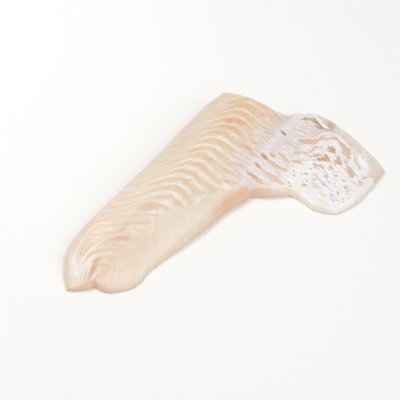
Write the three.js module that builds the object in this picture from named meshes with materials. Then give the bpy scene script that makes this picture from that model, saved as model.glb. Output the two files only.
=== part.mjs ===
// A skinned haddock fillet, lying on its cut side with the outside of the fish up.
// Millimetres. In plan, x runs from the tail to the head and w from the back to the belly.
import * as THREE from "three";

// The outline in plan, as points [x, w] that splines run through.
const BACK_EDGE = [
  [0, 28], [8, 21.5], [17, 14], [32, 5], [52, 0], [95, 1.5], [150, 5], [207, 6], [243, 7.5], [258, 10],
];
const TAIL_CUT = [[0, 28], [2.5, 33], [9, 40.5], [13.5, 43.5], [12.5, 49], [14, 57], [20, 64.5]];
const BELLY_EDGE = [
  [20, 64.5], [27, 69.5], [37, 71.5], [52, 71.5], [80, 77], [110, 83.5], [140, 88], [155, 93], [169, 97],
];
const FLAP_SEAM = [[169, 97], [185, 100.5], [212, 101], [252, 98], [294, 91]];
const FLAP_BACK = [[169, 97], [177, 111], [186, 124], [184, 138], [180, 149], [181, 159], [185, 168.5]];
const FLAP_END = [[185, 168.5], [199, 174.5], [216, 178], [236, 179], [256, 179]];
const HEAD_CUT = [[258, 10], [262, 16], [261.5, 32], [261, 46], [262, 62], [267, 75], [283, 80], [294, 91]];
const FLAP_FRONT = [[294, 91], [294, 103], [290, 119], [283, 135], [274, 151], [265, 167], [256, 179]];

// Thickness over the body: the ridge of the back muscle, and what is left of it at both sides.
const RIDGE_HEIGHT = [[0, 5], [30, 12], [80, 18.5], [140, 23.5], [200, 26.5], [260, 27.5]];
const RIDGE_ACROSS = 0.37; // share of the width from the back edge to the ridge
const BACK_SHARE = 0.68; // thickness beside the back edge, as a share of the ridge's
const BELLY_HEIGHT = [[0, 4.5], [40, 6.5], [110, 9], [165, 10], [230, 10], [290, 6.5]];
const FLAP_END_HEIGHT = 4.5; // thickness of the flap at its free end
const FLAP_WAVE = { height: 0.7, length: 46 }; // how the thin flap heaves on its way to the free end

// How far in from each side its edge is rounded, and how high over the table the rim's widest line runs.
const ROUNDING = { back: 12, tail: 4, belly: 6.5, head: 2.2 };
const RIM_HEIGHT = { body: 3.2, head: 1.2 };
const RIM_BLEND = 14; // length over which the rim comes down to the head cut

// The muscle blocks that show as chevrons: their number, their relief, and how their borders sweep back.
const BODY_LENGTH = 262; // from the tail to the head cut
const BLOCKS = 24.8;
const BLOCK_CROWDING = 0.94; // under 1, the blocks get shorter towards the tail
const BLOCK_RELIEF = 0.3;
const APEX_LINE = 50; // w of the line where the borders turn round

// How far the borders lie tailward of their place on the apex line, by w: over the loin and over the rear.
const LOIN_SWEEP = [
  [0, 19], [16, 32], [34, 14], [50, 0], [68, 2], [75, 1.5], [90, -6.5], [110, 0.5], [140, 13], [180, 27],
];
const REAR_SWEEP = [[0, 24], [16, 33], [34, 15], [50, 1], [66, 8], [84, 27]];
const REAR_EASE = 0.42; // share of the rear's sweep that is left at the tail
const REAR_FROM = [60, 118]; // over this stretch the rear's sweep grows to its full size
const LOIN_FROM = [85, 150]; // over this stretch the rear's sweep turns into the loin's
const TAIL_REACH = 62; // how far from the tail the borders are drawn out along the fillet
const TAIL_LOBE_END = [60, 140]; // over this stretch the belly side's drawn-out borders die away
const TURN_SHARPNESS = 6;
const EDGE_SHARE = 0.05; // the drawn-out borders stop short of the edge by this share of the width

// Hollows pressed into the surface, each along a line from one plan point to another.
const HOLLOWS = [
  { from: [12, 42], to: [31, 37], width: 2.6, depth: 1.5 }, // from the notch in the tail cut
  { from: [31, 37], to: [120, 49], width: 5, depth: 0.6 }, // the side line over the rear half
  { from: [176, 90], to: [282, 87], width: 6, depth: 0.5 }, // where the loin meets the belly flap
];

// The mesh: the spacing over the surface, and the distances from an edge where more rows lie.
const SPACING = 3.3;
const EDGE_ROWS = [0.5, 1.2, 2.2, 3.6];
const BODY_REAR = 168; // nominal lengths that the spacing divides
const BODY_FRONT = 112;
const BODY_WIDTH = 84;
const FLAP_DEPTH = 76;
const NOTCH_SHARE = 0.6; // share of the back edge that lies behind the flap's rear corner
const CHORDS = 60; // straight pieces of each outline curve that distances are measured to

const FLESH = { color: 0xe9dac6, roughness: 0.38, metalness: 0 };

// A spline through plan points, as a function of the share of its length.
function curve(points) {
  const spline = new THREE.SplineCurve(points.map(([x, w]) => new THREE.Vector2(x, w)));
  return (share) => spline.getPointAt(THREE.MathUtils.clamp(share, 0, 1));
}

// A value that follows a list of [x, value], smoothly from each to the next.
function graded(list, x) {
  const after = list.findIndex(([at]) => at > x);
  if (after === 0) return list[0][1];
  if (after < 0) return list[list.length - 1][1];
  const [x0, low] = list[after - 1];
  const [x1, high] = list[after];
  return THREE.MathUtils.lerp(low, high, THREE.MathUtils.smoothstep(x, x0, x1));
}

// The points inside four sides that meet at their ends.
function patch(near, far, start, end) {
  return (u, v) => {
    const between = near(u).lerp(far(u), v).add(start(v).lerp(end(v), u));
    return between.sub(near(0).lerp(near(1), u).lerp(far(0).lerp(far(1), u), v));
  };
}

// Shares of a length: even steps of the spacing, with the edge rows added at each end that is an edge.
function stations(length, edgeAtStart, edgeAtEnd) {
  const first = edgeAtStart ? EDGE_ROWS : [];
  const last = edgeAtEnd ? EDGE_ROWS.map((d) => length - d).reverse() : [];
  const from = first.length ? first[first.length - 1] : 0;
  const to = last.length ? last[0] : length;
  const count = Math.round((to - from) / SPACING);
  const middle = Array.from({ length: count - 1 }, (_, k) => from + ((to - from) * (k + 1)) / count);
  return [0, ...first, ...middle, ...last, length].map((d) => d / length);
}

// Two patches hold the plan: the body, whose belly edge runs on as the flap's seam, and the flap.
const back = curve(BACK_EDGE);
const belly = curve(BELLY_EDGE);
const seam = curve(FLAP_SEAM);
const bodyAt = patch(
  (u) => back(u < 0.5 ? 2 * u * NOTCH_SHARE : 2 * u - 1 + 2 * (1 - u) * NOTCH_SHARE),
  (u) => (u < 0.5 ? belly(2 * u) : seam(2 * u - 1)),
  curve(TAIL_CUT),
  curve(HEAD_CUT),
);
const flapAt = patch(seam, curve(FLAP_END), curve(FLAP_BACK), curve(FLAP_FRONT));

// The grid: columns from tail to head, rows from back to belly. The flap's rows start at its seam,
// and only the columns of the front half reach them.
const rear = stations(BODY_REAR, true, false);
const front = stations(BODY_FRONT, true, true);
const upper = stations(BODY_WIDTH, true, true);
const lower = stations(FLAP_DEPTH, false, true);
const NOTCH_COLUMN = rear.length - 1;
const SEAM_ROW = upper.length - 1;
const COLUMNS = NOTCH_COLUMN + front.length - 1;
const ROWS = SEAM_ROW + lower.length - 1;
const inside = (i, j) => i >= NOTCH_COLUMN || j <= SEAM_ROW;

function planPoint(i, j) {
  const u = i < NOTCH_COLUMN ? rear[i] / 2 : (1 + front[i - NOTCH_COLUMN]) / 2;
  return j <= SEAM_ROW ? bodyAt(u, upper[j]) : flapAt(2 * u - 1, lower[j - SEAM_ROW]);
}

// How many cells a grid point lies from the nearest edge.
function cellsIn(i, j) {
  return Math.min(i, COLUMNS - i, j, ROWS - j, Math.max(i - NOTCH_COLUMN, SEAM_ROW - j));
}

// The chords of each side's outline curves.
const sides = {
  back: [BACK_EDGE],
  tail: [TAIL_CUT],
  belly: [BELLY_EDGE, FLAP_BACK, FLAP_END],
  head: [HEAD_CUT, FLAP_FRONT],
};
function chords(points) {
  const at = curve(points);
  return Array.from({ length: CHORDS }, (_, k) => [at(k / CHORDS), at((k + 1) / CHORDS)]);
}
const sideChords = Object.fromEntries(
  Object.entries(sides).map(([side, lines]) => [side, lines.flatMap(chords)]),
);

// The shortest distance from a plan point to a side.
function reach(point, side) {
  const distances = sideChords[side].map(([a, b]) => {
    const onto = (point.x - a.x) * (b.x - a.x) + (point.y - a.y) * (b.y - a.y);
    const share = THREE.MathUtils.clamp(onto / a.distanceToSquared(b), 0, 1);
    return Math.hypot(a.x + (b.x - a.x) * share - point.x, a.y + (b.y - a.y) * share - point.y);
  });
  return Math.min(...distances);
}

// A quarter of an ellipse: 0 at an edge, 1 from the rounding's width on.
const quarter = (share) => Math.sqrt(1 - (1 - Math.min(share, 1)) ** 2);

// Thickness before the edges are rounded. across is 0 at the back edge, 1 at the seam, 2 at the flap's end.
function thickness(point, across) {
  const ridge = graded(RIDGE_HEIGHT, point.x);
  const low = graded(BELLY_HEIGHT, point.x);
  if (across > 1) {
    const wave = FLAP_WAVE.height * Math.sin(((point.x + point.y) / FLAP_WAVE.length) * 2 * Math.PI);
    return THREE.MathUtils.lerp(low, FLAP_END_HEIGHT + wave, Math.sin(((across - 1) * Math.PI) / 2) ** 2);
  }
  if (across < RIDGE_ACROSS) {
    return ridge * (1 - (1 - BACK_SHARE) * (1 - across / RIDGE_ACROSS) ** 2);
  }
  const down = (across - RIDGE_ACROSS) / (1 - RIDGE_ACROSS);
  return low + (ridge - low) * Math.cos((down * Math.PI) / 2) ** 2;
}

// How far the block borders lie tailward at a plan point.
function sweep(point) {
  const grown = THREE.MathUtils.lerp(REAR_EASE, 1, THREE.MathUtils.smoothstep(point.x, ...REAR_FROM));
  const loin = THREE.MathUtils.smoothstep(point.x, ...LOIN_FROM);
  return THREE.MathUtils.lerp(graded(REAR_SWEEP, point.y) * grown, graded(LOIN_SWEEP, point.y), loin);
}

// The number of muscle blocks between the tail and a plan point, whole on each block's border.
function blocks(point, width) {
  const aside = point.y - APEX_LINE;
  const onBelly = aside > 0;
  const share = Math.max(EDGE_SHARE, 1 - Math.abs(aside) / (onBelly ? width.belly : width.back));
  const lobe = onBelly ? 1 - THREE.MathUtils.smoothstep(point.x, ...TAIL_LOBE_END) : 1;
  const drawn = -TAIL_REACH * Math.log(share) * lobe;
  const swept = Math.max(point.x + sweep(point), 0);
  const apex = (swept ** TURN_SHARPNESS + drawn ** TURN_SHARPNESS) ** (1 / TURN_SHARPNESS);
  return BLOCKS * (apex / BODY_LENGTH) ** BLOCK_CROWDING;
}

function hollow(point) {
  return HOLLOWS.reduce((sum, { from, to, width, depth }) => {
    const line = new THREE.Line3(new THREE.Vector3(...from, 0), new THREE.Vector3(...to, 0));
    const place = new THREE.Vector3(point.x, point.y, 0);
    const away = line.closestPointToPoint(place, true, new THREE.Vector3()).distanceTo(place);
    return sum + depth * Math.exp(-((away / width) ** 2));
  }, 0);
}

function rimHeight(point) {
  const near = THREE.MathUtils.smoothstep(reach(point, "head"), 0, RIM_BLEND);
  return THREE.MathUtils.lerp(RIM_HEIGHT.head, RIM_HEIGHT.body, near);
}

function topHeight(point, across, width) {
  const rounded = Object.entries(ROUNDING).reduce(
    (product, [side, size]) => product * quarter(reach(point, side) / size),
    1,
  );
  const relief = -BLOCK_RELIEF * Math.cos(2 * Math.PI * blocks(point, width)) - hollow(point);
  const rim = rimHeight(point);
  return rim + (thickness(point, across) + relief - rim) * rounded;
}

// Builds the one closed surface: the top, the turned-in underside of the rim, and the flat base.
function filletGeometry() {
  const plan = new Map();
  const key = (i, j) => i * (ROWS + 1) + j;
  for (let i = 0; i <= COLUMNS; i++) {
    for (let j = 0; j <= ROWS; j++) {
      if (inside(i, j)) plan.set(key(i, j), planPoint(i, j));
    }
  }

  const positions = [];
  const add = (point, z) => positions.push(point.x, -point.y, z) / 3 - 1;
  const top = new Map();
  const under = new Map();
  for (const [id, point] of plan) {
    const i = Math.floor(id / (ROWS + 1));
    const j = id % (ROWS + 1);
    const across = j <= SEAM_ROW ? upper[j] : 1 + lower[j - SEAM_ROW];
    const edge = plan.get(key(i, SEAM_ROW));
    const width = { back: APEX_LINE - plan.get(key(i, 0)).y, belly: edge.y - APEX_LINE };
    top.set(id, add(point, topHeight(point, across, width)));
    const depth = Math.min(cellsIn(i, j) / EDGE_ROWS.length, 1);
    under.set(id, depth === 0 ? top.get(id) : add(point, rimHeight(point) * (1 - quarter(depth))));
  }

  const triangles = [];
  const quad = (a, b, c, d) => triangles.push(a, b, c, a, c, d);
  const based = (i, j) => cellsIn(i, j) >= EDGE_ROWS.length;
  for (let i = 0; i < COLUMNS; i++) {
    for (let j = 0; j < ROWS; j++) {
      const corners = [[i, j], [i, j + 1], [i + 1, j + 1], [i + 1, j]];
      if (!corners.every(([a, b]) => inside(a, b))) continue;
      quad(...corners.map(([a, b]) => top.get(key(a, b))));
      if (corners.every(([a, b]) => based(a, b))) continue;
      quad(...corners.map(([a, b]) => under.get(key(a, b))).reverse());
    }
  }
  triangles.push(...baseTriangles(plan, under, key));

  const geometry = new THREE.BufferGeometry();
  geometry.setAttribute("position", new THREE.Float32BufferAttribute(positions, 3));
  geometry.setIndex(triangles);
  return geometry;
}

// The flat face it rests on: the grid points a rim's width in from the edge, joined by triangles.
function baseTriangles(plan, under, key) {
  const rim = EDGE_ROWS.length;
  const stops = [
    [rim, rim],
    [COLUMNS - rim, rim],
    [COLUMNS - rim, ROWS - rim],
    [NOTCH_COLUMN + rim, ROWS - rim],
    [NOTCH_COLUMN + rim, SEAM_ROW - rim],
    [rim, SEAM_ROW - rim],
  ];
  const ring = stops.flatMap(([i, j], n) => {
    const [toI, toJ] = stops[(n + 1) % stops.length];
    const steps = Math.max(Math.abs(toI - i), Math.abs(toJ - j));
    return Array.from({ length: steps }, (_, k) =>
      key(i + ((toI - i) * k) / steps, j + ((toJ - j) * k) / steps),
    );
  });
  const contour = ring.map((id) => new THREE.Vector2(plan.get(id).x, -plan.get(id).y));
  const downward = (a, b, c) => {
    const turn = contour[b].clone().sub(contour[a]).cross(contour[c].clone().sub(contour[a]));
    return turn > 0 ? [a, c, b] : [a, b, c];
  };
  return THREE.ShapeUtils.triangulateShape(contour, [])
    .flatMap(([a, b, c]) => downward(a, b, c))
    .map((k) => under.get(ring[k]));
}

// The origin is under the middle of the fillet's box, on the face it rests on.
function centred(geometry) {
  geometry.computeBoundingBox();
  const middle = geometry.boundingBox.getCenter(new THREE.Vector3());
  return geometry.translate(-middle.x, -middle.y, 0);
}

const fillet = new THREE.Mesh(centred(filletGeometry()), new THREE.MeshStandardMaterial(FLESH));
fillet.name = "fillet";

const part = new THREE.Group();
part.add(fillet);
export default part;
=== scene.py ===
"""A skinned haddock fillet: raw flesh with its muscle bands, a torn membrane over the belly flap,
and a plain stage. Plans are in millimetres, x from the tail to the head and w from the back to the belly."""

import math

import bmesh
import bpy
import numpy as np
from bpy.props import FloatProperty, FloatVectorProperty, IntProperty, PointerProperty
from mathutils import Matrix, Vector, noise
from mathutils.bvhtree import BVHTree


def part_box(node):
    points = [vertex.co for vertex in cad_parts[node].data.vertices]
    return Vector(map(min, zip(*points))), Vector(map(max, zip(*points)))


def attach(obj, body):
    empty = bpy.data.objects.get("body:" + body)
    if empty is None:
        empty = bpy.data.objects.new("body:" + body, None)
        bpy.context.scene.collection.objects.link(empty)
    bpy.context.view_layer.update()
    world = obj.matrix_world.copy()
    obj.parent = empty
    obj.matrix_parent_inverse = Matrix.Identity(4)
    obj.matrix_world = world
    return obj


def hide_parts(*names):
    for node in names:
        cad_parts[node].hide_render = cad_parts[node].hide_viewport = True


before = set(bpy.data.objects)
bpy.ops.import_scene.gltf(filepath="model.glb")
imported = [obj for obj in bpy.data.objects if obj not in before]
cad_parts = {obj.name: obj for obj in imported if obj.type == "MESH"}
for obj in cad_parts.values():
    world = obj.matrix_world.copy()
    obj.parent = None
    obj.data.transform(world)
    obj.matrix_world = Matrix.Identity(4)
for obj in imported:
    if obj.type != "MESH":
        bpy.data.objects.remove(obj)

bl_info = {
    "name": "Haddock Fillet",
    "version": (1, 0, 0),
    "blender": (4, 5, 0),
    "location": "View3D > Sidebar > Fillet",
    "description": "Models a raw haddock fillet with its muscle bands and its belly membrane",
    "category": "Object",
}

MM = 0.001
LOW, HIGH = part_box("fillet")

# The outline in plan, as the points that its curves run through.
BACK_EDGE = [
    (-0.5, 27), (7.2, 20.2), (16.3, 13), (31.5, 4.4), (52, 0), (95, 1.5), (150, 5), (207, 6), (243, 7.5),
    (258, 10),
]
TAIL_CUT = [(-0.5, 27), (2, 32.5), (9, 40.5), (13.5, 43.5), (12.5, 49), (14, 57), (20, 64.5)]
BELLY_EDGE = [
    (20, 64.5), (27, 69.5), (37, 71.5), (52, 71.5), (80, 77), (110, 83.5), (140, 88), (155, 93), (169, 97),
]
FLAP_SEAM = [(169, 97), (185, 100.5), (212, 101), (252, 98), (294, 91)]
FLAP_BACK = [(169, 97), (177, 111), (186, 124), (184, 138), (180, 149), (181, 159), (185, 168.5)]
FLAP_END = [(185, 168.5), (199, 174.5), (216, 178), (236, 179), (256, 179)]
HEAD_CUT = [(258, 10), (262, 16), (261.5, 32), (261, 46), (262, 62), (267, 75), (283, 80), (294, 91)]
FLAP_FRONT = [(294, 91), (294, 103), (290, 119), (283, 135), (274, 151), (265, 167), (256, 179)]
NOTCH_SHARE = 0.6  # share of the back edge that lies behind the flap's rear corner
SIDES = {
    "back": [BACK_EDGE],
    "tail": [TAIL_CUT],
    "belly": [BELLY_EDGE],
    "flap": [FLAP_BACK, FLAP_END],
    "head": [HEAD_CUT, FLAP_FRONT],
}

# Thickness, and how the edges are rounded.
RIDGE_HEIGHT = [(0, 3.6), (30, 12), (80, 18.5), (140, 23.5), (200, 26.5), (260, 27.5)]
RIDGE_ACROSS = 0.37
BACK_SHARE = 0.68
BELLY_HEIGHT = [(0, 2), (50, 4.2), (110, 9), (165, 10), (230, 10), (290, 6.5)]
FLAP_END_HEIGHT = 4.5
FLAP_WAVE = (0.7, 46)
ROUNDING = {  # by side, the rounding's width by x
    "back": [(0, 5), (70, 12)],
    "tail": [(0, 1.4)],
    "belly": [(60, 3), (140, 6.5)],
    "flap": [(0, 2.2)],
    "head": [(0, 2)],
}
BODY_RIM = [(0, 0.9), (80, 1.4), (140, 3)]
END_RIM, RIM_BLEND = 1, 14
HOLLOWS = [  # from, to, width, depth
    ((12, 42), (31, 37), 2.6, 1.5),
    ((31, 37), (120, 49), 5, 0.6),
    ((176, 90), (282, 87), 6, 0.5),
]

# Noises of the surface: the length of a swell along x and across w, and the layer.
NOISE_GAIN = 1.6
HEAVE_NOISE = (19, 14, 1)
FLAP_NOISE = (6, 4, 3)
TEAR_NOISE = (5, 3.2, 5)
SHRED_NOISE = (2.6, 3.4, 9)
FILM_NOISE = (11, 11, 41)
SHAKES = [(7, 21, 0.5), (2.4, 31, 0.45)]  # length, layer, distance
BLOCK_RELIEF = (0.3, 0.7)  # everywhere, and more where the bands are strong
LOBE_CALM = 0.9
SHRED_RELIEF = 0.12
LIFT_RISE = (-0.1, 0.9)  # how far inside its edge the membrane lifts

# The borders of the muscle blocks: how far tailward of their crossing with the apex line they lie, by w.
BODY_LENGTH = 262
BLOCKS = 24.8
BLOCK_CROWDING = 0.94
APEX_LINE = 50
LOIN_SWEEP = [
    (0, 19), (8, 27), (16, 32), (24, 27), (34, 14), (42, 4.5), (50, 0), (60, 0.8), (68, 2), (75, 1.5),
    (83, -4.5), (90, -6.5), (100, -3.5), (110, 0.5), (120, 5), (140, 13), (180, 27),
]
REAR_SWEEP = [
    (0, 24), (8, 30), (16, 33), (24, 27), (34, 15), (42, 6), (50, 1), (58, 2), (66, 8), (74, 16), (84, 27),
]
REAR_EASE, REAR_FROM, LOIN_FROM = 0.7, (45, 110), (85, 150)
TAIL_REACH = 62
TAIL_LOBE_END = (60, 140)
TURN_SHARPNESS = 6
EDGE_SHARE = 0.05
LOBE_TOP = [
    (20, 43), (60, 47), (100, 53.5), (113, 60), (120, 67), (135, 73.5), (148, 78), (158, 84), (175, 98),
]

# Areas of the surface: their strength by x, and by w.
EVEN = [(0, 1)]  # 1 everywhere
AREAS = {
    "tail": ([(40, 1), (120, 0)], EVEN),
    "loin": ([(60, 0), (200, 1)], [(26, 1), (44, 0)]),
    "front": ([(130, 0), (230, 1)], [(24, 0), (40, 1), (64, 1), (80, 0)]),
    "fan": ([(5, 0), (12, 1), (34, 1), (46, 0)], [(12, 0), (18, 1), (34, 1), (37, 0)]),
    "hatch": ([(160, 0), (180, 1), (262, 1), (270, 0)], [(60, 0), (74, 1), (82, 1), (86, 0)]),
    "split": ([(165, 0), (185, 1)], [(58, 0), (72, 1)]),
    "rear": ([(95, 1), (125, 0)], EVEN),
    "back": (EVEN, [(26, 1), (44, 0)]),
    "bands": (EVEN, [(56, 1), (70, 0.6)]),
    "lobe": ([(160, 1), (172, 0)], EVEN),
    "belly_wall": ([(122, 0), (150, 0.22), (172, 0.22), (186, 0)], EVEN),
    "film": ([(155, 0), (175, 1)], EVEN),
    "milk": ([(222, 1), (250, 0.7)], EVEN),
    "flap": ([(150, 0), (156, 1)], EVEN),
    "margin": (EVEN, [(74, 0), (84, 1)]),
    "brink": (EVEN, [(112, 0), (126, 1)]),
}
EDGES = [  # the side, then the strength and the width of its translucent edge, each by x and by w
    ("belly", ([(90, 0.5), (140, 1)], EVEN), ([(90, 0.8), (140, 2)], EVEN)),
    ("belly", ([(120, 0), (150, 0.5), (176, 0.5), (186, 0)], [(125, 1), (150, 0)]), ([(0, 5)], EVEN)),
    ("flap", ([(0, 0.9)], EVEN), (EVEN, [(100, 2.8), (135, 0.7)])),
    ("flap", ([(205, 0), (225, 0.25)], EVEN), ([(0, 5)], EVEN)),
    ("tail", ([(0, 0.8)], EVEN), ([(0, 1.1)], EVEN)),
    ("back", ([(45, 0.5), (95, 0)], EVEN), ([(0, 3.2)], EVEN)),
]
STRIPE_LOSS = {"rear": 0.5, "back": 0.75, "lobe": 0.93, "flap": 0.75}  # shares of the bands that fade there
LOBE_RISE, BELLY_WALL_RISE = (-3, 4), (2, 8)
BRINK_WIDTH = 2.2
# How the painted shade in the membrane's tears sets in where the membrane ends.
SLOT_SHADE_COVER = (0.6, -0.6)
MARGIN_RISE = (-1, 2.5)

# The film along the flap's seam, and the milky part of the membrane.
FILM_ROW, FILM_SLOPE, FILM_WANDER = 92, 0.03, 1.2
FILM_BANDS = [(0.95, 2.8), (0.3, 6.5)]  # strength, breadth
FILM_TEAR = (-0.6, 0.8)
MILK_ROWS, MILK_SLOPE = (84, 100), 0.1

# Coloured places on the flesh: x, w, half length, half breadth, turn in degrees, strength.
ORANGE_PLACES = [
    (222, 47, 4.5, 3.2, 20, 1), (226, 55, 6, 2.6, 70, 0.9), (215, 52, 8, 2.4, 80, 0.6),
    (172, 41, 5, 2, 40, 0.5), (205, 47, 9, 2.6, 75, 0.4), (249, 45, 10, 3, 70, 0.45),
    (60, 40, 9, 2.2, 48, 0.7), (24, 37, 8, 2.4, -12, 0.85), (100, 44, 6, 3, 35, 0.25),
    (146, 44, 5, 3, 70, 0.25), (160, 91, 14, 4, 20, 0.6), (143, 87.5, 14, 3, 12, 0.7),
    (245, 46, 16, 9, 0, 0.25), (30, 45, 14, 6, 10, 0.2),
]
ROSE_PLACES = [
    (97, 44, 8.5, 2.4, 50, 0.25), (101, 40, 8, 1.6, 35, 0.25), (88, 37, 9, 2.2, 12, 0.3),
    (204, 76, 7, 2.4, 96, 0.8), (161, 79, 5, 1.4, 96, 0.8), (184, 79, 4, 1.6, 92, 0.5),
    (216, 78, 5, 2.2, 92, 0.4), (236, 77, 5, 2, 88, 0.5), (255, 75, 8, 3, 75, 0.45),
    (248, 66, 3, 2, 20, 0.5), (141, 55, 2.5, 1.4, 60, 0.6), (70, 38, 9, 2, 8, 0.3),
    (171, 86, 3, 1.6, 60, 0.6),
]
DARK_PLACES = [
    (51, 38.5, 2.6, 0.45, 30, 0.45), (226, 81.5, 1.2, 0.5, 60, 1), (233, 78, 1.5, 0.5, 60, 0.5),
    (224, 74, 0.8, 0.6, 0, 0.6), (194, 74, 1.2, 0.5, 0, 0.4),
]
FAT_PLACES = [(185, 154, 6, 5.5, 0, 0.9), (189, 128, 11, 5, 65, 1), (175, 106, 10, 3, 60, 0.45)]
# Painted shade in the tears of the membrane, the crack near the flap's front and a slot by the seam, where
# the membrane is gone.
SLOT_SHADE_PLACES = [
    (282, 92, 7, 3.6, 75, 0.8), (280, 105, 10, 4, -58, 1), (284, 114.5, 8, 5, -30, 0.6),
    (249, 86, 4, 3, 0, 0.5),
]
# Painted highlights on the wet flesh, such as the glints on the tail, and milky spots, both laid on in the
# membrane's white.
HIGHLIGHT_AND_MILK_PLACES = [
    (17, 24, 9, 4.5, -42, 1.2), (28, 31, 11, 1.6, -8, 0.35), (24, 18, 9, 4, -35, 0.5),
    (19, 53, 8, 2.5, 55, 0.7), (30, 62, 16, 7, 20, 0.7), (70, 69, 40, 6, 6, 0.8),
    (70, 47, 6, 1.3, 60, 0.6), (95, 47, 5, 1.3, 60, 0.6), (36, 51, 4, 0.7, 10, 0.6),
    (67, 41, 7, 1.2, 40, 0.6), (158, 80, 4.5, 3, 60, 1), (148, 79, 1.6, 1.2, 0, 1),
    (133, 70, 5, 1.6, 20, 0.8), (124, 69, 4, 1.3, 15, 0.6), (147, 77, 4, 1.3, 20, 0.5),
]

# Thin strokes on the flesh: strength, half breadth, then x, w along each.
WHITE_STROKES = [
    (1, 0.7, [(8, 33.5), (15, 30.5), (25, 30), (35, 32.5)]),
    (0.8, 0.6, [(9, 35.8), (16, 33), (27, 32.2), (38, 34.5)]),
    (0.9, 0.6, [(12.5, 37.2), (19, 35.2), (28, 34)]),
    (0.8, 0.7, [(11, 31), (20, 27.2), (32, 25), (43, 26.5), (52, 31)]),
    (0.7, 0.6, [(9.5, 29), (15, 23.5), (24, 18.5), (40, 13.5), (58, 13)]),
    (0.5, 0.5, [(13, 23), (20, 17), (32, 10.5), (48, 7)]),
    (1, 1, [(10, 30.5), (15, 26.5), (20, 24.5)]),
    (0.6, 0.5, [(66, 40), (70, 44), (73, 47)]), (0.7, 0.5, [(69, 38.5), (73, 40), (77, 38)]),
    (0.6, 0.4, [(64, 37), (68, 39), (72, 43)]), (0.5, 0.4, [(58, 51.5), (62, 48), (66, 46), (70, 47)]),
    (0.5, 0.4, [(84, 35), (88, 38), (90, 42)]), (0.9, 1, [(95, 48.5), (98, 46.5)]),
    (0.7, 0.6, [(99.5, 50), (102, 52.5), (102, 55)]), (0.7, 0.6, [(110, 45), (112, 50), (114, 55)]),
    (0.6, 0.5, [(92, 44), (95, 47), (97, 50)]), (0.5, 0.5, [(104, 40), (107, 44), (108, 48)]),
    (0.5, 0.4, [(20, 52), (24, 50.5), (28, 50)]), (0.6, 0.5, [(33, 52), (38, 50.5), (41, 51)]),
    (0.4, 0.4, [(28, 48), (35, 46)]), (0.4, 0.4, [(27, 54), (36, 53)]), (0.4, 0.4, [(26, 57), (33, 58)]),
    (0.4, 0.4, [(24, 62), (30, 60), (36, 60.5)]), (0.5, 0.4, [(50, 37), (55, 41), (60, 44)]),
]
ROSE_STROKES = [
    (0.6, 0.7, [(89, 36.5), (92, 38.5), (96, 43), (100.5, 49)]),
    (0.35, 0.6, [(92, 37.5), (98, 40), (104, 43.5)]),
    (0.35, 0.7, [(84, 36), (90, 36.5), (95, 38)]), (0.3, 0.6, [(99, 44), (103, 47), (105, 50)]),
    (0.3, 0.5, [(62, 38), (68, 43), (70, 48)]), (0.3, 0.4, [(48, 35.5), (54, 39), (58, 42.5)]),
    (0.7, 0.5, [(161, 74), (160.6, 79), (160, 84)]), (0.6, 0.5, [(184, 78), (183.6, 82)]),
    (0.6, 0.5, [(221, 76), (220.6, 80.5)]), (0.5, 0.5, [(233, 75), (233.2, 80)]),
    (0.6, 0.6, [(204.4, 71), (203.8, 77), (203.4, 82)]), (0.4, 0.5, [(248, 74), (249.6, 78), (252, 81.5)]),
]

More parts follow.
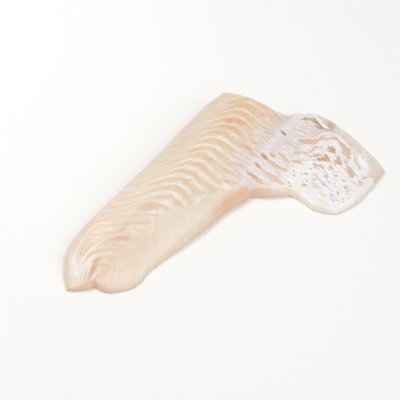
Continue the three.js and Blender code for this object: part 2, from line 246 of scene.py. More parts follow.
# The membrane's torn slots: how red the flesh in it is, then x, w and width along it.
SLOTS = [
    (0.75, [(183, 85, 2.6), (183.4, 91.5, 3.8), (180.8, 98, 4.2), (178.6, 103, 3)]),
    (0.75, [(197.4, 85.4, 2.6), (196, 93, 3.2)]),
    (0.2, [(196.2, 93, 3), (192.4, 101, 4.4), (189.6, 109, 6), (189.2, 117.5, 4.6)]),
    (1, [(211.2, 85, 4.2), (208.8, 91.6, 4)]),
    (0.35, [(208.4, 92, 4.6), (205.8, 102, 4), (203.8, 111.5, 2.6)]),
    (0.7, [(217.2, 89.8, 2.6), (216.8, 95, 1.6)]),
    (0.25, [(222.6, 94.5, 2.6), (218.6, 103.5, 3.6), (214.8, 109, 2.2)]),
    (0.45, [(218, 108.5, 3), (220.2, 114, 4.2), (219.6, 117.5, 2)]),
    (0.3, [(221.6, 113.6, 1.2), (226.8, 119.8, 1.1)]),
    (0.25, [(233.4, 96, 1.6), (232.5, 101.5, 1.8)]),
    (0.3, [(230, 106.8, 3.2), (233.2, 111.5, 3.2), (236, 117, 2.4)]),
    (0.25, [(238.5, 118, 1.4), (247.5, 118, 2.2), (250.2, 122.4, 1.4)]),
    (0.45, [(247.3, 99.5, 3.6), (248.8, 106.5, 6.2), (253, 113, 5), (259, 116, 3.2), (268, 117, 1.8)]),
    (0.35, [(263.4, 89.5, 1.8), (262.4, 97, 2), (260.6, 106, 1.4)]),
    (1, [(250, 83.4, 2.8), (248.2, 89, 2.6)]),
    (0.45, [(231.4, 118, 1.6), (235, 122, 3.2), (239.4, 126, 2.4)]),
    (0.9, [(230.2, 123.2, 1.3), (234, 129, 3), (238.4, 133, 6), (236, 137.5, 2.4)]),
    (0.9, [(238.5, 131.8, 4), (243.4, 130.6, 2)]),
    (0.7, [(225.8, 128, 2.6), (227.6, 132.5, 3)]),
    (0.4, [(224.6, 134.8, 1.6), (227, 134.4, 1.4)]),
    (0.7, [(230, 138.4, 2.2), (229, 144, 2.2)]),
    (1, [(249.6, 135.4, 4), (252, 130.6, 7), (256.4, 126.4, 3)]),
    (0.35, [(262, 119, 2.4), (267.6, 123.6, 4.4), (270, 129, 4.6)]),
    (0.4, [(269.6, 131, 4), (264.6, 137, 6), (256.6, 143, 8), (251.6, 149, 4)]),
    (0.7, [(238.6, 145.6, 4.6), (240.4, 142.8, 6), (246.6, 140.6, 2.4)]),
    (0.3, [(242.6, 149.4, 1.8), (248.8, 146, 3)]),
    (0.4, [(241, 152, 3), (235.6, 157, 4.6), (230.2, 161.6, 3.6)]),
    (0.3, [(253.6, 151.6, 4), (247.6, 157.6, 2.6), (243, 162.6, 1.6)]),
    (0.15, [(223, 171.4, 2), (230, 170.2, 1.6)]),
    (0.1, [(232, 169.4, 2.4), (237.4, 172.6, 3.6)]),
    (0, [
        (278, 87.4, 3), (282.6, 92.2, 5), (283.8, 99, 6.4), (280.4, 104.4, 6.4), (277, 109, 6),
        (275.6, 113.4, 4),
    ]),
]
SLOT_TIP, SLOT_SWELL = 0.45, 0.75  # shares of a slot's width at its ends, and added in its middle
SLOT_TEAR = 0.35
REDNESS_LOSS, REDNESS_FADE = 0.6, (4, 26)  # how much paler a slot gets, and how far down
FAR_AWAY = 20.0
DOTS = [  # x, w, half length, half breadth, turn in degrees, strength
    (197, 132.6, 2, 1.4, 60, 1), (208.4, 136.2, 2, 1.1, 75, 0.7), (210.4, 127.2, 2.4, 1.1, 55, 0.8),
    (206.6, 124.4, 1.4, 0.8, 60, 0.6), (214.2, 162.4, 2, 1.5, 140, 0.9), (204.8, 160, 3.2, 1.2, 150, 0.6),
    (217.4, 142.4, 3, 1.2, 115, 0.75), (222.4, 129.6, 1.2, 1.1, 0, 0.8), (219, 127.4, 1.4, 1.1, 60, 0.7),
    (192.8, 119.8, 1.3, 1.1, 60, 0.7), (189.6, 122.6, 1.7, 1, 40, 0.7), (207.2, 116.8, 1.4, 1.1, 100, 0.7),
    (202.9, 119.5, 1.3, 1.1, 60, 0.6), (198.6, 116.6, 1.6, 1.1, 110, 0.6), (213.2, 113.8, 1.5, 0.8, 150, 0.6),
    (220, 119.8, 1.2, 1, 100, 0.5), (222.6, 149.6, 2.4, 1.3, 110, 0.6), (213.8, 131.4, 2.2, 0.9, 100, 0.5),
    (214.2, 152, 1.4, 1, 110, 0.6), (227.4, 148.8, 2.6, 0.8, 110, 0.6), (220.6, 157.4, 2.8, 1.2, 115, 0.6),
    (200.2, 156.4, 2, 1.2, 110, 0.6), (199.8, 167.4, 2, 1, 100, 0.6), (202.6, 170.8, 2, 1, 100, 0.6),
    (177, 92, 2.4, 1, 100, 0.6), (188, 94, 3, 1.2, 105, 0.4), (201, 97, 2.4, 0.9, 105, 0.4),
]
THIN_PLACES = [(266, 108.5, 10, 5, -10, 1), (254, 107, 8, 5, 60, 0.4), (228, 172, 10, 4, 0, 0.5)]
WHITE_PLACES = [  # where the membrane is thickest
    (268, 115.5, 7, 2.6, 25, 1), (273.4, 123, 6, 2.2, 85, 1), (288.5, 86, 8, 3, 60, 1),
    (287, 101, 8, 3.6, 105, 0.9), (261, 130, 7, 3.4, 125, 1), (245, 126, 7, 4, 70, 1),
    (280, 98, 5, 1.8, 100, 0.9), (241, 111.5, 5, 4, 40, 0.9), (229, 115, 6, 2.6, 60, 0.8),
    (257, 156, 9, 3, 125, 1), (249.5, 141, 8, 2.4, 135, 0.8), (226, 100, 5, 3, 110, 0.5),
    (254, 120, 5, 2.6, 50, 0.8), (213, 100, 9, 1.2, 112, 0.7), (200, 100, 10, 1.6, 112, 0.7),
    (186.5, 98, 11, 1.6, 112, 0.8), (257.6, 100, 9, 1.6, 100, 0.6),
]
SPOTS = {
    "orange": ORANGE_PLACES,
    "dark": DARK_PLACES,
    "fat": FAT_PLACES,
    "highlight_and_milk": HIGHLIGHT_AND_MILK_PLACES,
    "thin": THIN_PLACES,
}
SLIT_AREAS = [  # x, w, number, longest, widest
    ((194, 232), (112, 134), 34, 4, 1.1),
    ((194, 236), (134, 172), 90, 8, 1),
    ((172, 232), (88, 112), 30, 12, 1),
    ((228, 274), (88, 112), 22, 10, 0.9),
    ((228, 262), (118, 168), 26, 8, 0.9),
]
SLIT_SWING, SLIT_LENGTHS, SLIT_WIDTHS = 0.15, (0.15, 0.5), (0.5, 1)  # radians, then shares
MEMBRANE_TOP = [(150, 104), (166, 97), (174, 88), (184, 84.5), (210, 84), (250, 82), (268, 79), (300, 77)]
MEMBRANE_FRONT = [
    (286, 74), (292.5, 84), (292, 91), (287, 96), (283.5, 103), (279, 109), (274.5, 113), (273.5, 121),
    (274.5, 130), (270.5, 138), (265, 145), (261, 150), (262, 155), (256.5, 162), (247.5, 168.5),
    (240.5, 171), (238, 176), (236, 183),
]
FLAP_TEAR, FLAP_RISE = 1.6, (-1, 1.2)  # how the membrane's top row wavers and sets in
FLAP_ROW, FLAP_THINNING, FLAP_EDGE = 97, 0.08, (0.4, 2.6)  # how it stops short of the flap's rear edge

# The teeth of the membrane's torn front, and the direction of its fibres.
TOOTH_LEAN = (0.25, 1.05)
TOOTH_SPACING, TOOTH_LENGTH, TOOTH_ROOT, TOOTH_ROWS = 3.1, 2.2, 0.4, (104, 116)
FIBRE_ROW, FIBRE_LEAN_REAR, FIBRE_LEAN_FRONT = 86, 0.4, 0.17
FIBRE_BEND, FIBRE_BEND_ROW = 0.011, 112
FIBRE_CHANGE = (205, 265)

# Loose threads and curls of membrane: x, w points, and the thread's thickness.
THREADS = [
    ([(279, 121), (283.8, 120.6), (286.2, 122.6), (282.7, 126.9), (278.3, 129), (275, 128.6)], 0.9),
    ([(283, 80.5), (287.3, 83.6), (290, 88.2), (290.6, 92.6), (290.4, 97.4)], 1.8),
    ([(281.9, 92.5), (280.3, 96.7), (279.5, 100.6), (278.9, 103.8), (277.8, 107.5)], 1.1),
    ([(279, 85.8), (278.8, 90.6), (277.5, 95.3)], 0.7),
    ([(263.4, 113.7), (267.7, 114.4), (271.3, 117.2), (273.6, 120.9), (274, 126), (273.2, 131)], 1.5),
    ([(249.8, 139.9), (248.2, 145.2), (246.2, 151.6), (243.1, 159.1), (239.3, 166.9)], 0.9),
    ([(263.2, 126.8), (256.2, 133), (249.8, 139.9), (242.5, 146.7), (237.5, 152.4)], 1),
    ([(245.6, 132.5), (239.2, 137.8), (235.6, 142.8)], 0.8),
    ([(266.6, 152.7), (262.9, 157.7), (258.2, 161), (253.9, 163.2)], 0.8),
    ([(229.3, 169.9), (232.8, 172), (234.7, 174.6), (232.2, 176.6), (226.9, 176.8), (222.8, 175.4)], 1.3),
    ([(12.6, 40.2), (15.5, 41.6), (20.5, 41.2)], 0.9),
]
COMBS = [  # the first root, the last root, each finger's run, the number of fingers, and their thickness
    ((291.5, 91.5), (280.5, 107), (-1.9, 9.5), 10, 1),
    ((272.6, 125), (266, 138), (-3.2, 9.5), 7, 0.8),
    ((263, 125.5), (256, 133.5), (-1.2, 8.5), 5, 1.1),
    ((260.5, 151), (253, 155.5), (-11, 14.5), 6, 1.1),
    ((258, 158), (250, 164), (-5, 5.5), 5, 0.8),
    ((243, 122.5), (250, 125.5), (-0.5, 5.5), 4, 0.9),
]
THREAD_SEED = 3
THREAD_SIDES, THREAD_STEPS = 8, 14
THREAD_BREADTH, THREAD_HEIGHT, THREAD_RISE = 1.5, 0.7, 0.5  # shares of its radius
RAY_START = 0.1
ROOT_SHAKE, TIP_SHAKE = 0.5, 0.8
COMB_LENGTHS, COMB_THICKNESS = (0.8, 1.15), (0.8, 1.2)  # shares of the comb's own
FRINGE_FROM, FRINGE_TO, FRINGE_STEP = 0.62, 0.92, 0.02  # shares of the torn front
FRINGE_TURNS, FRINGE_LENGTHS, FRINGE_THICKNESS = (-0.9, 0.5), (2.5, 6.5), (0.4, 0.75)
CORNER_STRANDS, CORNER_X, CORNER_W = 12, (266, 281), (81, 112)
CORNER_TURNS, CORNER_LENGTHS, CORNER_THICKNESS = (-0.5, 1.3), (3, 8), (0.4, 0.8)
STRAND_BEND, STRAND_STEPS = 0.5, 3

# The grid of the surface, and how far its outline wavers.
EDGE_RAGGED, EDGE_SWAY, EDGE_CELLS = 0.45, (5, 51), 5
EDGE_ROWS = [0.07, 0.22, 0.5, 0.9, 1.4, 2, 2.7, 3.5]
BODY_REAR, BODY_FRONT, BODY_WIDTH, FLAP_DEPTH = 168, 112, 84, 76
CURVE_STEPS, SIDE_STEPS = 24, 60
SPOT_FLATNESS, STROKE_TAPER = 1.3, 0.4

# What both faces of the flesh share, the chevrons' number in a metre, and the bumps' depths in metres.
WET_FLESH = {"Subsurface Weight": 0.35, "Subsurface Radius": (1, 0.55, 0.35), "Subsurface Scale": 0.004}
CHEVRONS_PER_METRE = 1 / 0.0118
BUMP_DEPTH, THREAD_BUMP_DEPTH, FLOOR_BUMP_DEPTH = 0.0006, 0.0003, 0.001

# The camera and the lights, in metres and degrees, from the photograph's own perspective.
CAMERA_PLACE = (-0.7538, -0.4048, 0.7269)
CAMERA_TILT, CAMERA_HEADING = 39.96, 29.9
SENSOR_MM, CLIP_START = 36, 0.01
LIGHTS = {  # direction, distance, size
    "key": ((0.1, 0.72, 0.98), 1.25, 0.34),
    "front": ((-0.3, -1, 0.8), 1.6, 1.2),
}
SKY_COLOUR = (1, 0.985, 0.97, 1)
FLOOR_HALF = 3


def linear(hex_colour):
    """The linear colour of an sRGB one."""
    parts = [int(hex_colour[k:k + 2], 16) / 255 for k in (0, 2, 4)]
    return tuple(p / 12.92 if p <= 0.04045 else ((p + 0.055) / 1.055) ** 2.4 for p in parts)


def length_setting(name, description, millimetres):
    """A length in metres that the sidebar shows in the scene's units."""
    return FloatProperty(
        name=name, description=description, default=millimetres * MM, min=0, precision=5, unit="LENGTH"
    )


def colour_setting(name, description, hex_colour):
    """A colour that the sidebar shows as a swatch."""
    return FloatVectorProperty(
        name=name, description=description, default=linear(hex_colour), min=0, max=1, size=3, subtype="COLOR"
    )


class FilletSizes(bpy.types.PropertyGroup):
    grid_step: length_setting("Grid Step", "Spacing of the surface's grid", 0.68)
    block_relief: length_setting("Block Relief", "How far the muscle blocks stand up and down", 0.16)
    unevenness: length_setting("Unevenness", "How far the whole surface heaves", 0.3)
    membrane_lift: length_setting("Membrane Lift", "How far the membrane stands off the flesh", 0.28)


class FilletColours(bpy.types.PropertyGroup):
    flesh: colour_setting("Flesh", "The cream of the flesh", "EEE0CF")
    loin: colour_setting("Loin", "The greyer flesh towards the head and the back", "E2D2BD")
    tail: colour_setting("Tail", "The warmer flesh towards the tail", "EFD6C2")
    band: colour_setting("Band", "The tan bands between the sheets", "E5C49F")
    sheet: colour_setting("Sheet", "The pale sheets between the muscle blocks", "F4F0ED")
    orange: colour_setting("Orange", "The warm stains", "E3AC7E")
    rose: colour_setting("Rose", "The pink streaks", "D79A7C")
    edge: colour_setting("Edge", "The translucent peach of the thin edges", "EDC6A6")
    dark: colour_setting("Dark", "The small bruises and specks", "8E6F62")
    # Painted shade in the membrane's crack and slots.
    shade: colour_setting("Shade", "The tan hollows beside the crack in the membrane", "A98361")
    silver: colour_setting("Silver", "The lavender film along the flap's seam", "F3ECF1")
    membrane: colour_setting("Membrane", "The white membrane", "FBFAFA")
    veil: colour_setting("Veil", "The membrane where it is thin", "E4D8D0")
    dash: colour_setting("Dash", "The small slits in the membrane", "CFBFBA")
    bare: colour_setting("Bare", "The flesh in the membrane's slots", "E6D3C1")
    raw: colour_setting("Raw", "The reddest flesh in the slots", "D9A384")
    margin: colour_setting("Margin", "The bare strip along the flap's front", "E2D9CB")
    fat: colour_setting("Fat", "The spots of fat", "F7F2DE")


class FilletStage(bpy.types.PropertyGroup):
    lens: length_setting("Lens", "The camera's focal length", 122.6)
    floor: colour_setting("Floor", "The floor's colour", "FAFAF9")
    key_power: FloatProperty(
        name="Key", description="Power of the large light", default=5.4, min=0, unit="POWER"
    )
    front_power: FloatProperty(
        name="Front", description="Power of the soft light from the camera's side", default=7.6, min=0,
        unit="POWER",
    )
    fill: FloatProperty(name="Fill", description="Strength of the light from all round", default=0.57, min=0)
    seed: IntProperty(name="Seed", description="Seed of the small slits in the membrane", default=7)


# ---- plan geometry ----

def hermite(t, start, end, start_slope, end_slope):
    """A smooth run between two values, at shares t of the way, with a slope at each of them."""
    values = (2 * t**3 - 3 * t**2 + 1) * start + (3 * t**2 - 2 * t**3) * end
    return values + (t**3 - 2 * t**2 + t) * start_slope + (t**3 - t**2) * end_slope


def spline(points):
    """The curve through plan points, as a function of shares of its length."""
    points = np.array(points, float)
    spread = np.pad(points, ((1, 1), (0, 0)), mode="edge")
    slopes = (spread[2:] - spread[:-2]) / 2
    along = np.linspace(0, len(points) - 1, (len(points) - 1) * CURVE_STEPS + 1)
    k = np.minimum(along.astype(int), len(points) - 2)
    line = hermite((along - k)[:, None], points[k], points[k + 1], slopes[k], slopes[k + 1])
    steps = np.linalg.norm(np.diff(line, axis=0), axis=1)
    lengths = np.concatenate([[0], np.cumsum(steps)])

    def at(share):
        place = np.clip(share, 0, 1) * lengths[-1]
        return np.stack([np.interp(place, lengths, line[:, axis]) for axis in (0, 1)], -1)

    return at


def smooth(value, low, high):
    """0 up to low, 1 from high on, and a smooth rise between."""
    t = np.clip((value - low) / (high - low), 0, 1)
    return t * t * (3 - 2 * t)


def graded(points, x):
    """A value that follows (x, value) points, smoothly from each to the next."""
    value = np.full(np.shape(x), float(points[0][1]))
    for (x0, low), (x1, high) in zip(points, points[1:]):
        value += (high - low) * smooth(x, x0, x1)
    return value


def flowing(points, x):
    """A value on the smooth curve through (x, value) points."""
    xs, values = np.array(points, float).T
    slopes = np.gradient(values, xs)
    k = np.clip(np.searchsorted(xs, x) - 1, 0, len(xs) - 2)
    span = xs[k + 1] - xs[k]
    t = np.clip((x - xs[k]) / span, 0, 1)
    return hermite(t, values[k], values[k + 1], span * slopes[k], span * slopes[k + 1])


def patch(near, far, start, end):
    """The points inside four curves that meet at their ends."""
    def at(u, v):
        u_, v_ = u[:, None], v[:, None]
        between = near(u) * (1 - v_) + far(u) * v_ + start(v) * (1 - u_) + end(v) * u_
        corners = (near(0) * (1 - u_) + near(1) * u_) * (1 - v_) + (far(0) * (1 - u_) + far(1) * u_) * v_
        return between - corners
    return at


def stations(length, step, edge_at_start, edge_at_end):
    """Shares of a length: even steps, with the edge rows at each end that is an edge."""
    first = EDGE_ROWS if edge_at_start else []
    last = [length - d for d in reversed(EDGE_ROWS)] if edge_at_end else []
    start = first[-1] if first else 0
    end = last[0] if last else length
    middle = np.linspace(start, end, round((end - start) / step) + 1)[1:-1]
    return np.array([0, *first, *middle, *last, length]) / length


class Plan:
    """The grid of the fillet in plan: columns from tail to head, rows from back to belly."""

    def __init__(self, step):
        self.rear = stations(BODY_REAR, step, True, False)
        self.front = stations(BODY_FRONT, step, True, True)
        self.upper = stations(BODY_WIDTH, step, True, True)
        self.lower = stations(FLAP_DEPTH, step, False, True)
        self.notch = len(self.rear) - 1
        self.seam = len(self.upper) - 1
        self.columns = self.notch + len(self.front) - 1
        self.rows = self.seam + len(self.lower) - 1
        back, belly, seam = spline(BACK_EDGE), spline(BELLY_EDGE), spline(FLAP_SEAM)

        def near(u):
            return back(np.interp(u, (0, 0.5, 1), (0, NOTCH_SHARE, 1)))

        def far(u):
            u = np.asarray(u)
            return np.where(u[..., None] < 0.5, belly(2 * u), seam(2 * u - 1))

        self.body_at = patch(near, far, spline(TAIL_CUT), spline(HEAD_CUT))
        self.flap_at = patch(seam, spline(FLAP_END), spline(FLAP_BACK), spline(FLAP_FRONT))

    def inside(self, i, j):
        """Whether places lie on the body or the flap, not behind the notch."""
        return (i >= self.notch) | (j <= self.seam)

    def cells_in(self, i, j):
        """How many cells a place lies in from the nearest edge."""
        corner = np.maximum(i - self.notch, self.seam - j)
        return np.minimum.reduce([i, self.columns - i, j, self.rows - j, corner])

    def points(self, i, j):
        """Plan points of grid places, and how far across they lie: 1 at the seam, 2 at the flap's end."""
        rear = i < self.notch
        rear_share = self.rear[np.minimum(i, self.notch)] / 2
        front_share = (1 + self.front[np.maximum(i - self.notch, 0)]) / 2
        u = np.where(rear, rear_share, front_share)
        on_body = j <= self.seam
        v = self.upper[np.minimum(j, self.seam)]
        flap_v = self.lower[np.maximum(j - self.seam, 0)]
        body = self.body_at(u, v)
        flap = self.flap_at(np.clip(2 * u - 1, 0, 1), flap_v)
        return np.where(on_body[:, None], body, flap), np.where(on_body, v, 1 + flap_v)


def reach(points, side):
    """The distance from plan points to a side of the outline."""
    nearest = np.full(len(points), np.inf)
    for outline in SIDES[side]:
        line = spline(outline)(np.linspace(0, 1, SIDE_STEPS + 1))
        for a, b in zip(line, line[1:]):
            nearest = np.minimum(nearest, segment_distance(points, a, b)[0])
    return nearest


def segment_distance(points, a, b):
    """The distance from plan points to a straight stretch, and where along it the nearest point is."""
    a, b = np.array(a, float), np.array(b, float)
    along = np.clip((points - a) @ (b - a) / ((b - a) @ (b - a)), 0, 1)
    return np.linalg.norm(points - a - along[:, None] * (b - a), axis=1), along


def quarter(share):
    """A quarter of an ellipse: 0 at an edge, 1 from the rounding's width on."""
    return np.sqrt(1 - (1 - np.minimum(share, 1)) ** 2)


def thickness(points, across):
    """The thickness before the edges are rounded."""
    ridge, low = graded(RIDGE_HEIGHT, points[:, 0]), graded(BELLY_HEIGHT, points[:, 0])
    height, length = FLAP_WAVE
    wave = height * np.sin(points.sum(1) / length * 2 * math.pi)
    flap = low + (FLAP_END_HEIGHT + wave - low) * np.sin((np.clip(across, 1, 2) - 1) * math.pi / 2) ** 2
    back = ridge * (1 - (1 - BACK_SHARE) * (1 - across / RIDGE_ACROSS) ** 2)
    down = np.clip((across - RIDGE_ACROSS) / (1 - RIDGE_ACROSS), 0, 1)
    loin = low + (ridge - low) * np.cos(down * math.pi / 2) ** 2
    return np.select([across < RIDGE_ACROSS, across <= 1], [back, loin], flap)


def block_count(points, back_width, belly_width):
    """The number of muscle blocks between the tail and a point, whole on each block's border."""
    x, w = points.T
    aside = np.abs(w - APEX_LINE)
    on_belly = w > APEX_LINE
    loin = smooth(x, *LOIN_FROM)
    rear = flowing(REAR_SWEEP, w) * (REAR_EASE + (1 - REAR_EASE) * smooth(x, *REAR_FROM))
    sweep = rear * (1 - loin) + flowing(LOIN_SWEEP, w) * loin
    share = np.maximum(1 - aside / np.where(on_belly, belly_width, back_width), EDGE_SHARE)
    lobe = np.where(on_belly, 1 - smooth(x, *TAIL_LOBE_END), 1)
    drawn = -TAIL_REACH * np.log(share) * lobe
    swept = np.maximum(x + sweep, 0.01)
    apex = (swept**TURN_SHARPNESS + drawn**TURN_SHARPNESS) ** (1 / TURN_SHARPNESS)
    return BLOCKS * (apex / BODY_LENGTH) ** BLOCK_CROWDING


def rough(points, across_x, across_w, layer):
    """Smooth noise from about -1 to 1, with swells of the given lengths."""
    return np.array([noise.noise((x / across_x, w / across_w, layer)) for x, w in points]) * NOISE_GAIN


def swayed(points, length, layer):
    """Noise in x and in w, with swells of the given length."""
    return np.stack([rough(points, length, length, layer + side) for side in (0, 6)], -1)


def shaken(points):
    """Plan points moved about a little, which tears straight lines into ragged ones."""
    moved = points
    for length, layer, distance in SHAKES:
        moved = moved + swayed(points, length, layer) * distance
    return moved


def area(points, strengths):
    """The strength at plan points of an area, from its strength by x and by w."""
    by_x, by_w = strengths
    return graded(by_x, points[:, 0]) * graded(by_w, points[:, 1])


def places(points, spots):
    """The strength, from 0 to 1, of a list of long round spots."""
    strength = np.zeros(len(points))
    for x, w, half_length, half_breadth, degrees, full in spots:
        turn = math.radians(degrees)
        dx, dw = points[:, 0] - x, points[:, 1] - w
        along = (dx * math.cos(turn) + dw * math.sin(turn)) / half_length
        aside = (dw * math.cos(turn) - dx * math.sin(turn)) / half_breadth
        strength = np.maximum(strength, full * np.exp(-((along**2 + aside**2) ** SPOT_FLATNESS)))
    return strength


def stroke_field(points, strokes):
    """The strength, from 0 to 1, of a list of thin curved strokes."""
    strength = np.zeros(len(points))
    for full, half_breadth, path in strokes:
        line = spline(path)(np.linspace(0, 1, 3 * len(path) + 1))
        for k, (a, b) in enumerate(zip(line, line[1:])):
            away, along = segment_distance(points, a, b)
            taper = np.sin((k + along) / (len(line) - 1) * math.pi) ** STROKE_TAPER
            strength = np.maximum(strength, full * taper * np.exp(-((away / half_breadth) ** 2)))
    return strength


def side_of(points, line):
    """The signed distance to a curve: positive to its left as it runs, in plan seen with w up."""
    nodes = spline(line)(np.linspace(0, 1, SIDE_STEPS + 1))
    best = np.full(len(points), np.inf)
    sign = np.ones(len(points))
    for a, b in zip(nodes, nodes[1:]):
        away, _ = segment_distance(points, a, b)
        turn = (b[0] - a[0]) * (points[:, 1] - a[1]) - (b[1] - a[1]) * (points[:, 0] - a[0])
        closer = away < best - 1e-9
        best = np.where(closer, away, best)
        sign = np.where(closer, np.sign(turn), sign)
    return best * sign


def strand_place(points):
    """A coordinate in millimetres across the membrane's fibres, which lean more towards the head."""
    x, w = points.T
    below = w - FIBRE_ROW
    front = FIBRE_LEAN_FRONT * below + FIBRE_BEND * np.maximum(w - FIBRE_BEND_ROW, 0) ** 2
    share = smooth(x, *FIBRE_CHANGE)
    return x + FIBRE_LEAN_REAR * below * (1 - share) + front * share


def strand_turn(middle):
    """The direction of the fibres at a plan point, in radians."""
    step = 0.5
    x, w = middle
    near = strand_place(np.array([(x - step, w), (x + step, w), (x, w - step), (x, w + step)]))
    return math.atan2(near[1] - near[0], near[2] - near[3])


def slot_field(points):
    """How far points lie outside the slots, and how red the flesh of the nearest one is."""
    away = np.full(len(points), FAR_AWAY)
    redness = np.zeros(len(points))
    for red, path in SLOTS:
        parts = len(path) - 1
        fade = 1 - REDNESS_LOSS * smooth(points[:, 1] - path[0][1], *REDNESS_FADE)
        for k in range(parts):
            (x0, w0, wide0), (x1, w1, wide1) = path[k:k + 2]
            distance, along = segment_distance(points, (x0, w0), (x1, w1))
            taper = SLOT_TIP + SLOT_SWELL * np.sqrt(np.sin((k + along) / parts * math.pi))
            distance = distance - (wide0 + (wide1 - wide0) * along) / 2 * taper
            redness = np.where(distance < away, red * fade, redness)
            away = np.minimum(away, distance)
    return away, redness


def slit_field(points, seed):
    """How far points lie outside the small slits, which run with the membrane's fibres."""
    draw = np.random.default_rng(seed)
    away = np.full(len(points), FAR_AWAY)
    for (x0, x1), (w0, w1), count, longest, widest in SLIT_AREAS:
        for _ in range(count):
            middle = np.array([draw.uniform(x0, x1), draw.uniform(w0, w1)])
            turn = strand_turn(middle) + draw.uniform(-SLIT_SWING, SLIT_SWING)
            half_run = np.array([math.cos(turn), math.sin(turn)]) * draw.uniform(*SLIT_LENGTHS) * longest
            distance, along = segment_distance(points, middle - half_run, middle + half_run)
            half = widest / 2 * draw.uniform(*SLIT_WIDTHS) * (0.5 + 0.5 * np.sin(along * math.pi))
            away = np.minimum(away, distance - half)
    return away


def membrane_cover(points, slots):
    """How far points lie inside the membrane, negative where it is gone, and inside its torn front alone."""
    x, w = points.T
    lean_x, lean_w = TOOTH_LEAN
    tooth = np.abs(((w * lean_w + x * lean_x) / TOOTH_SPACING) % 1 - 0.5) * 2
    ragged = rough(points, *TEAR_NOISE)
    teeth = (tooth - TOOTH_ROOT) * TOOTH_LENGTH * smooth(w, *TOOTH_ROWS)
    front = side_of(points, MEMBRANE_FRONT) + teeth + ragged
    return np.minimum(front, slots + ragged * SLOT_TEAR), front


def surface_fields(points, near, blocks, seed):
    """What varies over the surface, as one value for each point; near is the distance to each side."""
    x, w = points.T
    torn = shaken(points)
    slots, redness = slot_field(torn)
    cover, front = membrane_cover(points, slots)
    areas = {name: area(points, strengths) for name, strengths in AREAS.items()}
    below_lobe_top = w - flowing(LOBE_TOP, x)
    lobe = smooth(below_lobe_top, *LOBE_RISE) * areas["lobe"]
    flap = smooth(w - flowing(MEMBRANE_TOP, x) + FLAP_TEAR * rough(points, *FLAP_NOISE), *FLAP_RISE)
    flap *= smooth(near["flap"] + FLAP_THINNING * np.maximum(w - FLAP_ROW, 0), *FLAP_EDGE)
    rear = 1 - STRIPE_LOSS["rear"] * areas["rear"]
    stripe = rear * (1 - STRIPE_LOSS["back"] * areas["back"] * rear)
    stripe *= (1 - STRIPE_LOSS["lobe"] * lobe) * (1 - STRIPE_LOSS["flap"] * flap)
    film_row = w + FILM_SLOPE * x - FILM_ROW + FILM_WANDER * rough(points, *FILM_NOISE)
    film = sum(full * np.exp(-((film_row / breadth) ** 2)) for full, breadth in FILM_BANDS)
    milk = smooth(w - MILK_SLOPE * x, *MILK_ROWS) * areas["milk"]
    belly_wall = areas["belly_wall"] * smooth(below_lobe_top, *BELLY_WALL_RISE)
    rose_strokes = stroke_field(torn, ROSE_STROKES)
    edges = [
        area(points, strength) * np.exp(-near[side] / area(points, width)) for side, strength, width in EDGES
    ]
    return {
        **{name: areas[name] for name in ("tail", "loin", "front", "fan", "hatch")},
        **{name: places(points, spots) for name, spots in SPOTS.items()},
        "muscle_blocks": blocks,
        "stripe": np.maximum(stripe, areas["fan"]) * areas["bands"],
        "split": areas["split"] * (1 - flap),
        "lobe": lobe,
        "rose": np.maximum.reduce([places(points, ROSE_PLACES), belly_wall, rose_strokes]),
        "slot_shade": places(points, SLOT_SHADE_PLACES) * smooth(cover, *SLOT_SHADE_COVER),
        "film": film * areas["film"] * smooth(slots, *FILM_TEAR),
        "flap": flap * areas["flap"],
        "milk": np.maximum(milk, places(points, WHITE_PLACES)),
        "dots": places(torn, DOTS),
        "strand": strand_place(points),
        "cover": cover,
        "dashes": slit_field(torn, seed),
        "edge": np.maximum.reduce(edges),
        "strokes": stroke_field(torn, WHITE_STROKES),
        "margin": smooth(-front, *MARGIN_RISE) * areas["margin"],
        "brink": np.exp(-near["head"] / BRINK_WIDTH) * areas["brink"],
        "redness": redness,
    }


def rim_heights(points, near):
    """How high the side wall stands: lowest at the tail, the head and the flap."""
    to_low_side = np.minimum.reduce([near[side] for side in ("tail", "head", "flap")])
    return END_RIM + (graded(BODY_RIM, points[:, 0]) - END_RIM) * smooth(to_low_side, 0, RIM_BLEND)


def top_heights(points, across, near, rim, fields, sizes):
    """Heights of the upper surface over the table, in millimetres."""
    rounded = np.ones(len(points))
    for side, widths in ROUNDING.items():
        rounded *= quarter(near[side] / graded(widths, points[:, 0]))
    pillow = 1 - np.abs(2 * (fields["muscle_blocks"] % 1) - 1) ** 3
    everywhere, on_bands = BLOCK_RELIEF
    banded = (everywhere + on_bands * fields["stripe"]) * (1 - LOBE_CALM * fields["lobe"])
    relief = sizes.block_relief / MM * (2 * pillow - 1) * banded
    relief += sizes.unevenness / MM * rough(points, *HEAVE_NOISE)
    relief += sizes.membrane_lift / MM * smooth(fields["cover"], *LIFT_RISE)
    relief += SHRED_RELIEF * rough(points, *SHRED_NOISE) * smooth(fields["cover"], 0, 1)
    for start, end, width, depth in HOLLOWS:
        away, _ = segment_distance(points, start, end)
        relief -= depth * np.exp(-((away / width) ** 2))
    return rim + (thickness(points, across) + relief - rim) * rounded


# ---- the flesh's mesh ----

